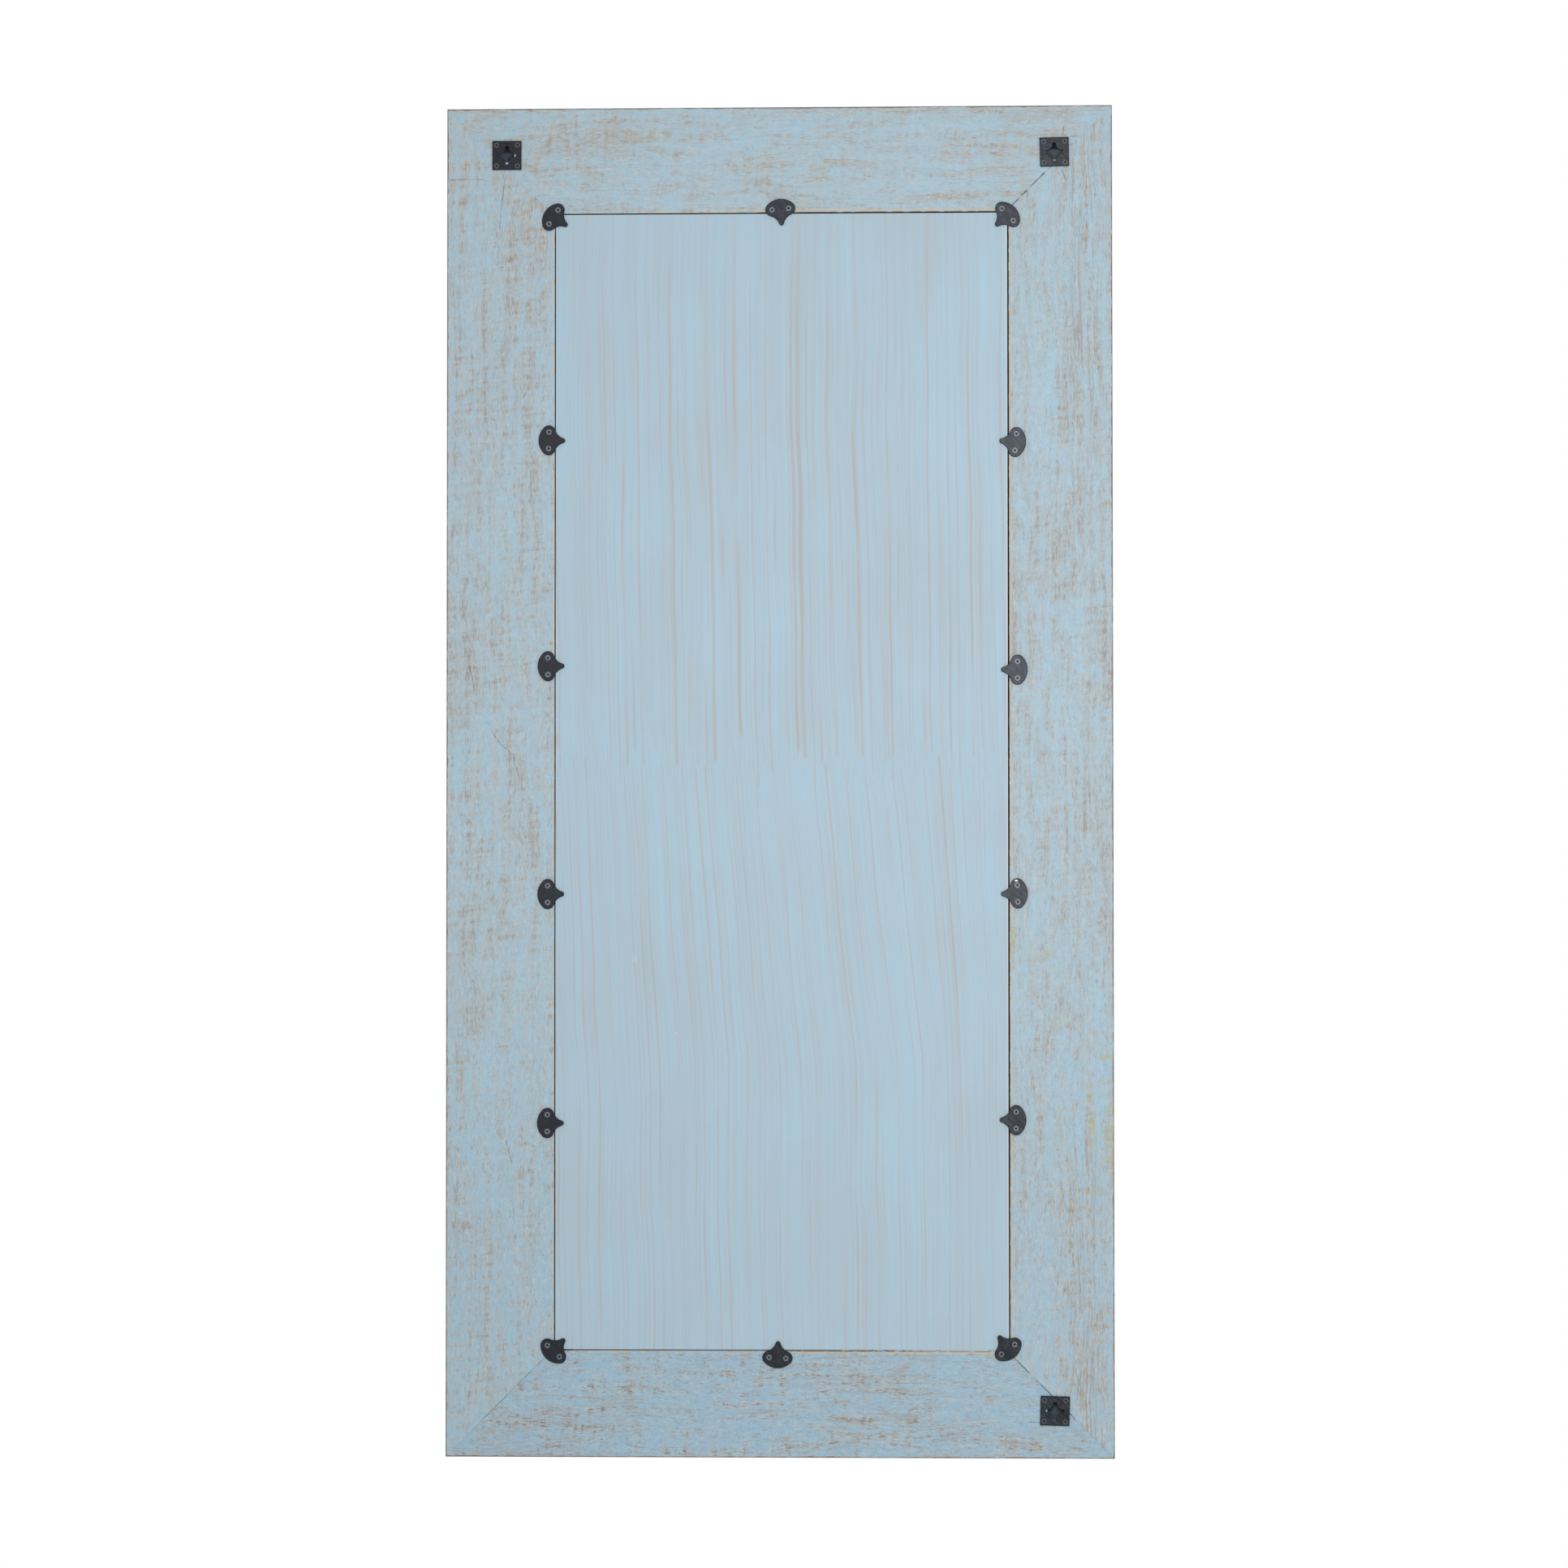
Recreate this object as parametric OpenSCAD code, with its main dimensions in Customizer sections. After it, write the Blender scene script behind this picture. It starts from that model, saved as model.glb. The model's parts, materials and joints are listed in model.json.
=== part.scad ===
// Carved mirror: a tall wall mirror in a carved, mitred wooden frame.
// The front faces -Y, the back faces +Y and +Z is up. The origin lies at the middle of the mirror,
// on the plane of the wall that the clips and hanger plates touch.
// Left and right in names are those of someone who looks at the front. Places of the hardware on the
// back are given as [u, v]: u to the right and v up, as seen from behind.

/* [Frame] */
// Overall height of the frame
frame_h = 1830; // [1500:10:2100]
// Overall width of the frame
frame_w = 904; // [760:2:1100]
// Width of each frame board
board_w = 154; // [146:1:176]
// Thickness of each frame board
board_t = 30; // [28:1:40]
// Width of the lip that holds the glass at the front
lip_w = 10.3; // [8:0.1:12]
// How far the rebate lies off the middle, towards the left stile
rebate_shift = 3.4; // [0:0.1:4]

/* [Carved front] */
// Width of the plain border along the outer edge
border_w = 24; // [20:1:30]
// Width of the moulding along the sight edge
sight_w = 24; // [20:1:30]
// Depth of the carved field under the two borders
field_drop = 2.5; // [1:0.5:4]
// Radius of the round on the outer front edge
edge_r = 5; // [2:0.5:7]
// Radius of the cove along the sight edge
cove_r = 9; // [5:0.5:10]
// Radius of the half-round groove in each border
groove_r = 2.5; // [1.5:0.5:3]
// Distance from each groove to the carved field
groove_in = 6.5; // [5:0.5:8]
// Wanted distance between the round gouge cuts along the outer border
gouge_l = 14; // [12:1:24]
// Radius of the gouge that makes them
gouge_r = 5; // [4:0.5:6]
// Depth of each gouge cut
gouge_d = 1.6; // [1:0.1:2]
// Wanted length of one carved cell along a board
cell_l = 112; // [104:2:150]
// Depth of the long petals
petal_d = 5; // [3:0.5:6]
// Width of the long petals
petal_w = 15; // [12:0.5:17]
// Radius of the ring cut around each boss
ring_r = 8; // [6:0.5:9]
// Radius of the tool that cuts the ring
ring_tool_r = 2.2; // [1.5:0.1:3]

/* [Glass and back] */
// Thickness of the mirror glass
glass_t = 4; // [3:0.5:5]
// Clearance around the glass in the rebate
glass_gap = 2; // [1:0.5:3]
// Thickness of the soft pad behind the glass
pad_t = 2; // [1:0.5:3]
// Thickness of the back panel
panel_t = 9; // [6:0.5:12]
// Gap around the back panel
panel_gap = 1.7; // [1:0.1:3]
// How far the back panel lies off the middle of its opening, towards the right stile
panel_shift = 0.3; // [0:0.1:0.9]

/* [Retaining clips] */
// Thickness of each clip
clip_t = 2; // [1.5:0.1:3]
// Distance between a clip's two screws
clip_pitch = 22.6; // [20:0.2:28]
// Radius of a clip's rounded ends
clip_end_r = 9.1; // [8:0.1:11]
// Distance from the screws to the clip's back edge
clip_back = 13.9; // [12:0.1:16]
// Distance from the screws to the middle of the nose's round tip
clip_nose = 19; // [17:0.5:24]
// Radius of the nose's round tip
clip_nose_r = 3.4; // [2.5:0.1:4.5]
// Radius of the hollow flanks between nose and body
clip_flank_r = 16; // [12:0.5:20]
// Distance from a clip's screws to the edge of the opening
clip_seat = 8.1; // [7:0.1:10]

/* [Hanger plates] */
// Side of each square hanger plate
plate_s = 39.6; // [36:0.2:46]
// Thickness of each hanger plate
plate_t = 2; // [1.5:0.1:3]
// Radius of the hanger plate's corners
plate_corner_r = 0.8; // [0.4:0.1:2]
// Distance between the screws of a hanger plate
plate_pitch = 28.5; // [26:0.5:30]
// Radius of the keyhole's round middle
key_r = 6.6; // [6:0.1:7.5]
// Width of the keyhole's four slots
slot_w = 4.3; // [4.2:0.1:5]
// Distance from the keyhole's middle to the end of each slot
slot_reach = 12.7; // [11:0.1:13.5]
// Distance from the keyhole's middle to where a slot starts to flare
flare_reach = 8.4; // [7.8:0.1:9]
// Distance from the frame's side to the middle of a hanger plate
hanger_in_u = 80; // [70:1:90]
// Distance from the frame's top or foot to the middle of a hanger plate
hanger_in_v = 63.8; // [54:1:74]
// Radius of the round pocket behind each keyhole
pocket_r = 12.2; // [11.5:0.1:13]
// Depth of the round pocket behind each keyhole
pocket_d = 10; // [8:0.5:12]

/* [Screws and dowels] */
// Radius of a clip screw's head
clip_head_r = 3.8; // [3.4:0.1:4.2]
// Radius of a hanger screw's head
plate_head_r = 3.5; // [3.2:0.1:4]
// Radius of every screw's shank
shank_r = 1.75; // [1.5:0.05:2]
// Length of every screw
screw_l = 16; // [12:0.5:18]
// Height of every screw's countersunk head
head_h = 1.3; // [1:0.1:1.3]
// Length of every screw's point
point_l = 3; // [2:0.5:4]
// Length of the cross recess in a head
recess_l = 3.8; // [3:0.1:4.2]
// Width of the cross recess in a head
recess_w = 0.9; // [0.7:0.05:1.1]
// Depth of the cross recess in a head
recess_d = 1.1; // [0.6:0.1:1.4]
// Radius of the tapered middle of that recess
recess_mid_r = 1.4; // [1.2:0.1:1.6]
// Depth of the tapered middle of that recess
recess_mid_d = 2; // [1.5:0.1:2.5]
// Radius of the dowels across each mitre
dowel_r = 4; // [3:0.5:5]
// Length of the dowels across each mitre
dowel_l = 60; // [40:2:70]
// Clearance around screws and dowels
fit_gap = 0.05; // [0.02:0.01:0.1]

/* [Hidden] */
$fn = 48;

// Overrun of every cut past the face that it starts on, and of the shallow carving cuts
over = 1;
skim = 0.4;
// Degrees in each step of a clip's arcs
arc_step = 12;
// Facets of the large balls that shape the petals
ball_facets = 128;

// Each clip: its name, the point of the opening's edge that it sits at, as shares of the half width
// and half height, the heading of its nose in degrees, and the share of clip_seat that it sits back
CLIP_SHARES = [
    ["top_left", 0.996, 0.994, -136.8, 0],
    ["top_middle", -0.003, 1, -85, 0.57],
    ["top_right", -1.006, 0.994, -32.6, 0],
    ["left_1", 1, 0.594, 175, 1.16],
    ["left_2", 1, 0.193, 179.2, 1.38],
    ["left_3", 1, -0.2, -178, 1.33],
    ["left_4", 1, -0.596, 179.2, 1.02],
    ["right_1", -1, 0.599, -1.5, 1],
    ["right_2", -1, 0.201, 0.6, 1.11],
    ["right_3", -1, -0.2, 0.2, 1.13],
    ["right_4", -1, -0.602, -0.5, 1.17],
    ["bottom_left", 0.99, -0.996, 126.1, 0],
    ["bottom_middle", -0.018, -1, 87.3, 1.14],
    ["bottom_right", -1.003, -1.001, 46.8, 0]
];

// Each hanger: its name, the corner that it sits in, the tilt of the plate in degrees, the drift of
// the plate from its place as shares of plate_s, and that of the pocket as shares of pocket_r
HANGER_SHARES = [
    ["top_left", [1, 1], 1.2, [0.05, 0.01], [0, 0.15]],
    ["top_right", [-1, 1], 0, [0.04, 0], [-0.16, 0.25]],
    ["bottom_left", [1, -1], -1.5, [-0.01, 0.01], [0.15, 0]]
];

// Depths, from the wall towards the front
stand_off = max(clip_t, plate_t);
rebate_d = glass_t + pad_t + panel_t;
back_y = -stand_off;
panel_y = back_y - panel_t;
pad_y = panel_y - pad_t;
glass_y = pad_y - glass_t;
field_y = back_y - board_t + field_drop;

// The opening cut from the back for glass, pad and panel
opening_w = frame_w - 2 * board_w + 2 * lip_w;
opening_h = frame_h - 2 * board_w + 2 * lip_w;

// The carved field of a board, and the flat between the rounded edge and the groove of the border
field_w = board_w - border_w - sight_w;
field_mid = border_w + field_w / 2;
gouge_mid = (edge_r + border_w - groove_in - groove_r) / 2;

// Petals of each rosette, which take turns in being short and long
petals = 8;

// Sizes of the carving as shares of the field's width
petal_start_share = 0.13;
long_reach_share = 0.57;
short_reach_share = 0.42;
dart_l_share = 0.2;
dart_place_share = 0.37;
dish_r_share = 0.05;
// Short petals and darts as shares of the long petals
short_petal_share = 0.8;
dart_share = 0.6;

// Places of the two dowels along a mitre, as shares of its length
DOWEL_SHARES = [0.21, 0.69];
// Depth of the dowels in the boards as a share of the depth behind the carved field
dowel_depth_share = 0.44;

// Degrees between a slot and the spot on the round middle where its flare starts
flare_turn = 35;
// Degrees between a recess's two arms and the clip's or plate's own sides
recess_turn = 45;

BLUE = [0.67, 0.78, 0.84];
PANEL_BLUE = [0.68, 0.78, 0.85];
WOOD = [0.72, 0.6, 0.45];
BLACK = [0.23, 0.24, 0.26];
GREY = [0.42, 0.43, 0.46];
GLASS = [0.83, 0.89, 0.9];
PAD = [0.85, 0.85, 0.83];

function named(rows, name) = [for (row = rows) if (row[0] == name) row][0];
function flipped(points) = [for (i = [len(points) - 1:-1:0]) [points[i].x, -points[i].y]];

// Points of an arc about a middle, from one angle to another
function arc(middle, r, from, to) =
    let (steps = ceil(abs(to - from) / arc_step))
    [for (i = [0:steps]) let (a = from + (to - from) * i / steps) middle + r * [cos(a), sin(a)]];

// Turns a drawing seen from behind, whose z points at the wall, into the frame of the part
module seen_from_behind() {
    rotate([90, 0, 180]) children();
}

// Frame boards

// Section of a board: x from the outer edge to the sight edge, y from the back to the front
module board_section() {
    difference() {
        square([board_w, board_t]);
        translate([border_w, board_t - field_drop]) square([field_w, field_drop + over]);
        for (x = [border_w - groove_in, board_w - sight_w + groove_in])
            translate([x, board_t]) circle(groove_r);
        translate([board_w, board_t]) circle(cove_r);
        difference() {
            translate([-over, board_t - edge_r]) square([edge_r + over, edge_r + over]);
            translate([edge_r, board_t - edge_r]) circle(edge_r);
        }
    }
}

// A mitred board along the top of a frame whose outer edge is reach above the middle
module mitred_board(length, reach) {
    translate([0, back_y, reach]) intersection() {
        rotate(180, [1, 0, -1]) linear_extrude(length + 2 * over, center = true) board_section();
        rotate([90, 0, 0]) linear_extrude(board_t)
            polygon([[-length / 2, 0], [length / 2, 0],
                     [length / 2 - board_w, -board_w], [-length / 2 + board_w, -board_w]]);
    }
}

// One chip-carved hollow along x, cut into z = 0: pointed at both ends, with two round flanks that
// meet in a sharp valley. It is what two large balls side by side share.
module chip_cut(length, width, depth) {
    valley_r = (pow(length / 2, 2) + pow(depth, 2)) / (2 * depth);
    aside = (pow(length, 2) - pow(width, 2)) / (4 * width);
    ball_r = norm([valley_r, aside]);
    intersection() {
        intersection_for(side = [-1, 1])
            translate([0, side * aside, valley_r - depth]) sphere(ball_r, $fn = ball_facets);
        translate([-length, -width, -2 * depth]) cube([2 * length, 2 * width, 2 * depth + skim]);
    }
}

// Chip-carved petals around a ringed boss
module rosette() {
    start = petal_start_share * field_w;
    for (i = [0:petals - 1]) {
        reach = (i % 2 == 0 ? short_reach_share : long_reach_share) * field_w;
        size = i % 2 == 0 ? short_petal_share : 1;
        rotate(360 / petals * i) translate([(start + reach) / 2, 0, 0])
            chip_cut(reach - start, petal_w * size, petal_d * size);
    }
    rotate_extrude() translate([ring_r, 0]) circle(ring_tool_r);
}

// Cuts between two neighbouring cells: a dart at each border and a dish between them
module cell_joint() {
    dish_r = dish_r_share * field_w;
    for (side = [-1, 1])
        translate([0, side * dart_place_share * field_w, 0]) rotate(90)
            chip_cut(dart_l_share * field_w, petal_w * dart_share, petal_d * dart_share);
    translate([0, 0, dish_r / 2]) sphere(dish_r);
}

// All cuts of a board, along x in the middle of its field, with a rosette across each mitre
module board_carving(length) {
    run = length - 2 * board_w;
    cells = max(1, round(run / cell_l));
    pitch = run / cells;
    for (i = [0:cells - 1])
        translate([(i + 0.5) * pitch - run / 2, 0, 0]) rosette();
    for (i = [0:cells])
        translate([i * pitch - run / 2, 0, 0]) cell_joint();
    for (side = [-1, 1])
        translate([side * (length / 2 - field_mid), 0, 0]) rosette();
}

// A row of round gouge cuts along the outer border, with one across each mitre
module border_carving(length) {
    run = length - 2 * gouge_mid;
    cuts = round(run / gouge_l);
    for (i = [0:cuts])
        translate([i * run / cuts - run / 2, 0, gouge_r - gouge_d]) sphere(gouge_r);
}

// A board with its carving, turned to its side of the frame
module carved_board(length, reach, turn) {
    rotate([0, turn, 0]) difference() {
        mitred_board(length, reach);
        translate([0, field_y, reach - field_mid]) rotate([90, 0, 0]) board_carving(length);
        translate([0, back_y - board_t, reach - gouge_mid]) rotate([90, 0, 0]) border_carving(length);
    }
}

// Rebate for the glass, the pad and the panel
module rebate() {
    translate([-rebate_shift - opening_w / 2, back_y - rebate_d, -opening_h / 2])
        cube([opening_w, rebate_d + over, opening_h]);
}

// Everything that is drilled or milled into the back of the boards
module back_cuts() {
    rebate();
    seen_from_behind() {
        for (row = CLIP_SHARES) at_clip(row) at_clip_screws()
            translate([0, 0, -stand_off - screw_l]) cylinder(r = shank_r + fit_gap, h = screw_l + over);
        for (row = HANGER_SHARES) {
            at_hanger(row) at_plate_screws()
                translate([0, 0, -stand_off - screw_l])
                    cylinder(r = shank_r + fit_gap, h = screw_l + over);
            at_pocket(row) translate([0, 0, -stand_off - pocket_d])
                cylinder(r = pocket_r, h = pocket_d + over);
        }
    }
    for (x = [-1, 1], z = [-1, 1]) dowels(x, z, fit_gap);
}

// Two dowels square across the mitre of the corner at the signs x and z
module dowels(x, z, gap) {
    y = back_y - dowel_depth_share * (board_t - field_drop);
    for (share = DOWEL_SHARES)
        translate([x * (frame_w / 2 - share * board_w), y, z * (frame_h / 2 - share * board_w)])
            rotate([0, x * z * -45, 0])
                cylinder(r = dowel_r + gap, h = dowel_l + 2 * gap, center = true);
}

module frame_board(length, reach, turn) {
    color(BLUE) difference() {
        carved_board(length, reach, turn);
        back_cuts();
    }
}

module corner_dowels(x, z) {
    color(WOOD) dowels(x, z, 0);
}

// Glass, pad and panel

module mirror_glass() {
    w = opening_w - 2 * glass_gap;
    h = opening_h - 2 * glass_gap;
    color(GLASS) translate([-rebate_shift - w / 2, glass_y, -h / 2]) cube([w, glass_t, h]);
}

module backing_pad() {
    w = opening_w - 2 * glass_gap;
    h = opening_h - 2 * glass_gap;
    color(PAD) translate([-rebate_shift - w / 2, pad_y, -h / 2]) cube([w, pad_t, h]);
}

module back_panel() {
    w = opening_w - 2 * panel_gap;
    h = opening_h - 2 * panel_gap;
    color(PANEL_BLUE) translate([panel_shift - rebate_shift - w / 2, panel_y, -h / 2])
        cube([w, panel_t, h]);
}

// Retaining clips

// Puts a drawing at a clip's place, with x along its nose and its screws on y
module at_clip(row) {
    edge = [rebate_shift + row[1] * opening_w / 2, row[2] * opening_h / 2];
    heading = [cos(row[3]), sin(row[3])];
    translate(concat(edge - row[4] * clip_seat * heading, [0])) rotate(row[3]) children();
}

module at_clip_screws() {
    for (side = [-1, 1]) translate([0, side * clip_pitch / 2, 0]) children();
}

// Outline of a clip: two round ends, a long curved back and a nose between hollow flanks
module clip_outline() {
    end = [0, clip_pitch / 2];
    nose = [clip_nose, 0];
    back_x = (pow(end.y, 2) - pow(clip_back - clip_end_r, 2)) / (2 * (clip_back - clip_end_r));
    back_r = back_x + clip_back;
    // Middle of the flank's arc, which touches both the round end and the nose
    span = norm(nose - end);
    to_end = clip_end_r + clip_flank_r;
    to_nose = clip_nose_r + clip_flank_r;
    along = (pow(to_end, 2) - pow(to_nose, 2) + pow(span, 2)) / (2 * span);
    aside = sqrt(pow(to_end, 2) - pow(along, 2));
    run = (nose - end) / span;
    flank = end + along * run + aside * [-run.y, run.x];
    nose_a = atan2(flank.y, flank.x - nose.x);
    end_a = atan2(flank.y - end.y, flank.x);
    back_a = atan2(end.y, -back_x);
    upper = concat(
        arc(nose, clip_nose_r, 0, nose_a),
        arc(flank, clip_flank_r, 180 + nose_a, 180 + end_a),
        arc(end, clip_end_r, end_a, back_a),
        arc([back_x, 0], back_r, back_a, 180));
    polygon(concat(upper, flipped(upper)));
}

module retaining_clip(name) {
    color(BLACK) seen_from_behind() at_clip(named(CLIP_SHARES, name)) difference() {
        translate([0, 0, -stand_off]) linear_extrude(clip_t) clip_outline();
        at_clip_screws() translate([0, 0, clip_t - stand_off]) screw_hole(clip_head_r, clip_t);
    }
}

module clip_screws(name) {
    color(GREY) seen_from_behind() at_clip(named(CLIP_SHARES, name))
        at_clip_screws() translate([0, 0, clip_t - stand_off]) wood_screw(clip_head_r);
}

// Hanger plates

// Puts a drawing at a hanger plate's place and tilt
module at_hanger(row) {
    corner = [row[1].x * (frame_w / 2 - hanger_in_u), row[1].y * (frame_h / 2 - hanger_in_v)];
    translate(concat(corner + plate_s * row[3], [0])) rotate(row[2]) children();
}

module at_plate_screws() {
    for (x = [-1, 1], y = [-1, 1]) translate([x, y, 0] * plate_pitch / 2) children();
}

module at_pocket(row) {
    at_hanger(row) translate(concat(pocket_r * row[4], [0])) children();
}

// Four-way keyhole: a round middle with a flared, round-ended slot in each direction
module keyhole() {
    circle(key_r);
    flare = key_r * [cos(flare_turn), sin(flare_turn)];
    for (a = [0:90:270]) rotate(a) {
        polygon([[0, -slot_w / 2], [slot_reach - slot_w / 2, -slot_w / 2],
                 [slot_reach - slot_w / 2, slot_w / 2], [0, slot_w / 2]]);
        translate([slot_reach - slot_w / 2, 0]) circle(slot_w / 2);
        polygon([[0, 0], [flare.x, -flare.y], [flare_reach, -slot_w / 2],
                 [flare_reach, slot_w / 2], flare]);
    }
}

// Outline of a hanger plate, a square with slightly rounded corners
module plate_outline() {
    straight = plate_s - 2 * plate_corner_r;
    square([plate_s, straight], center = true);
    square([straight, plate_s], center = true);
    for (x = [-1, 1], y = [-1, 1]) translate([x, y] * straight / 2) circle(plate_corner_r);
}

module hanger_plate(name) {
    color(BLACK) seen_from_behind() at_hanger(named(HANGER_SHARES, name)) difference() {
        translate([0, 0, -stand_off]) linear_extrude(plate_t) difference() {
            plate_outline();
            keyhole();
        }
        at_plate_screws() translate([0, 0, plate_t - stand_off]) screw_hole(plate_head_r, plate_t);
    }
}

module hanger_screws(name) {
    color(GREY) seen_from_behind() at_hanger(named(HANGER_SHARES, name))
        at_plate_screws() translate([0, 0, plate_t - stand_off]) wood_screw(plate_head_r);
}

// Screws

// Countersunk screw that points to -z, with its head's face at z = 0
module wood_screw(head_r) {
    difference() {
        rotate_extrude() polygon([[0, 0], [head_r, 0], [shank_r, -head_h], [shank_r, point_l - screw_l],
                                  [0, -screw_l]]);
        for (a = [recess_turn, recess_turn + 90]) rotate(a)
            translate([-recess_l / 2, -recess_w / 2, -recess_d])
                cube([recess_l, recess_w, recess_d + over]);
        translate([0, 0, -recess_mid_d])
            cylinder(r1 = 0, r2 = recess_mid_r * (1 + over / recess_mid_d), h = recess_mid_d + over);
    }
}

// Countersunk hole for that screw in metal of the given thickness
module screw_hole(head_r, thickness) {
    r = shank_r + fit_gap;
    rotate_extrude() polygon([[0, over], [head_r + fit_gap, over], [head_r + fit_gap, 0], [r, -head_h],
                              [r, -thickness - over], [0, -thickness - over]]);
}

frame_board(frame_w, frame_h / 2, 0);  // top_rail
frame_board(frame_w, frame_h / 2, 180);  // bottom_rail
frame_board(frame_h, frame_w / 2, 270);  // left_stile
frame_board(frame_h, frame_w / 2, 90);  // right_stile
corner_dowels(-1, 1);  // top_left_dowels
corner_dowels(1, 1);  // top_right_dowels
corner_dowels(-1, -1);  // bottom_left_dowels
corner_dowels(1, -1);  // bottom_right_dowels
mirror_glass();
backing_pad();
back_panel();
retaining_clip("top_left");  // clip_top_left
retaining_clip("top_middle");  // clip_top_middle
retaining_clip("top_right");  // clip_top_right
retaining_clip("left_1");  // clip_left_1
retaining_clip("left_2");  // clip_left_2
retaining_clip("left_3");  // clip_left_3
retaining_clip("left_4");  // clip_left_4
retaining_clip("right_1");  // clip_right_1
retaining_clip("right_2");  // clip_right_2
retaining_clip("right_3");  // clip_right_3
retaining_clip("right_4");  // clip_right_4
retaining_clip("bottom_left");  // clip_bottom_left
retaining_clip("bottom_middle");  // clip_bottom_middle
retaining_clip("bottom_right");  // clip_bottom_right
clip_screws("top_left");  // screws_top_left
clip_screws("top_middle");  // screws_top_middle
clip_screws("top_right");  // screws_top_right
clip_screws("left_1");  // screws_left_1
clip_screws("left_2");  // screws_left_2
clip_screws("left_3");  // screws_left_3
clip_screws("left_4");  // screws_left_4
clip_screws("right_1");  // screws_right_1
clip_screws("right_2");  // screws_right_2
clip_screws("right_3");  // screws_right_3
clip_screws("right_4");  // screws_right_4
clip_screws("bottom_left");  // screws_bottom_left
clip_screws("bottom_middle");  // screws_bottom_middle
clip_screws("bottom_right");  // screws_bottom_right
hanger_plate("top_left");  // hanger_top_left
hanger_plate("top_right");  // hanger_top_right
hanger_plate("bottom_left");  // hanger_bottom_left
hanger_screws("top_left");  // hanger_screws_top_left
hanger_screws("top_right");  // hanger_screws_top_right
hanger_screws("bottom_left");  // hanger_screws_bottom_left
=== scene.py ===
"""Looks of the carved mirror: worn blue paint, black hardware, silvered glass and soft studio light."""
import json
import math
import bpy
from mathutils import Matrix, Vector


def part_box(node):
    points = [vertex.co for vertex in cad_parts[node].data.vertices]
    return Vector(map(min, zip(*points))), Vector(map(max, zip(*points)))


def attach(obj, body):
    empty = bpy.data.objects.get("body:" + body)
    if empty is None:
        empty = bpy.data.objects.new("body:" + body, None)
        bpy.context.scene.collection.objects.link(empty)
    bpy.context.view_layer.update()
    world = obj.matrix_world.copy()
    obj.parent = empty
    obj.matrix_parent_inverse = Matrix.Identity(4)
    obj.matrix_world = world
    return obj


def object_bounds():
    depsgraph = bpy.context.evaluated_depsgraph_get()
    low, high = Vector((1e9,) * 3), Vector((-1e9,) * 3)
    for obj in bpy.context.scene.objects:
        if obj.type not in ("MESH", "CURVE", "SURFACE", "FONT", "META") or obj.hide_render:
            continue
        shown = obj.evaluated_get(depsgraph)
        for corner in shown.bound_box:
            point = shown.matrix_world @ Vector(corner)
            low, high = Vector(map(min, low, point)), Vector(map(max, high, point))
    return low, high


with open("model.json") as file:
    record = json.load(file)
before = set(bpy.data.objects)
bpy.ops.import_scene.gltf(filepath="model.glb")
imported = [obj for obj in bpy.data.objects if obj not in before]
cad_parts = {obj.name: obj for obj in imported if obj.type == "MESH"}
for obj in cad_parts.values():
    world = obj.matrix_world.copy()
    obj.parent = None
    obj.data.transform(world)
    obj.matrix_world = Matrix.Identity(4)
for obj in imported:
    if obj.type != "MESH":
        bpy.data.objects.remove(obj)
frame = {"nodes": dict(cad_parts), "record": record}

from types import SimpleNamespace

import bmesh
import bpy
from mathutils import Euler, Matrix, Vector

# Frame

CAD_LOW, CAD_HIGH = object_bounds()
MM = 0.001
PHOTO_SIZE = 1932

# The object's half sizes and main places in millimetres, read from the frame
HALF_W = CAD_HIGH.x / MM
HALF_H = CAD_HIGH.z / MM
BACK_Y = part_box("back_panel")[1].y / MM
GLASS_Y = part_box("mirror_glass")[0].y / MM
PANEL_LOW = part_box("back_panel")[0] / MM
PANEL_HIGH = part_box("back_panel")[1] / MM
BOARD_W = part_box("left_stile")[1].x / MM + HALF_W
TOP_PLATE_Z = (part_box("hanger_top_right")[0].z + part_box("hanger_top_right")[1].z) / 2 / MM
LOW_PLATE_Z = (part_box("hanger_bottom_left")[0].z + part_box("hanger_bottom_left")[1].z) / 2 / MM
SIGHT_HALF_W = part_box("right_stile")[0].x / MM
SIGHT_HALF_H = HALF_H - BOARD_W
# Gap between the panel and the boards, as the photograph shows it
GAP = 1.7
# How much light the old paint mirrors
PAINT_GLOSS = 0.22

# The photograph looks at the back. Its scale there, and its point at the middle of the back
MM_PER_PX = 1.1
PHOTO_MID = (960.8, 963.6)

# Camera, seven metres behind the mirror, and its turn in degrees from square on
CAMERA_PLACE = (-0.2754, 7.0, -0.204)
CAMERA_TURN = (1.622, 2.199, -0.027)
FOCAL_PX = 6376.9
SENSOR_MM = 36.0
CLIP_END = 100.0

# Colours as they show in the photograph
PAINT = "#A3C0D0"
PAINT_PALE = "#BFCCD2"
PAINT_GREYED = "#ACBAC0"
BARE_TAN = "#B9B5AF"
YELLOWED = "#B3A576"
STREAK_TAN = "#9B9896"
RIM_TAN = "#C4BAA6"
WORN_BROWN = "#7C695B"
RUN_BROWN = "#97857A"
LOW_BLUE = "#8FB2C8"
GAP_BROWN = "#8C8077"
EDGE_BROWN = "#5E4F46"
# Dark wood inside the gap, partly painted shade
GAP_WOOD_AND_SHADE = "#2B2826"
POCKET_GREY = "#4B5660"
# Painted shade at the top of a keyhole pocket, under its plate
POCKET_PAINTED_SHADE = "#121214"
CRACK_DARK = "#5E5A58"
MITRE_DARK = "#45413F"
PORE_DARK = "#7C7873"
PANEL_PAINT = "#A9C6D7"
PANEL_GREYED = "#ADBBC4"
PANEL_TAN = "#B1A69F"
# Painted highlight along the panel's edge at the photograph's right
PANEL_HIGHLIGHT = "#C6D6DE"
PANEL_STAIN = "#B5AFB0"
METAL_BLACK = "#101319"
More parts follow.
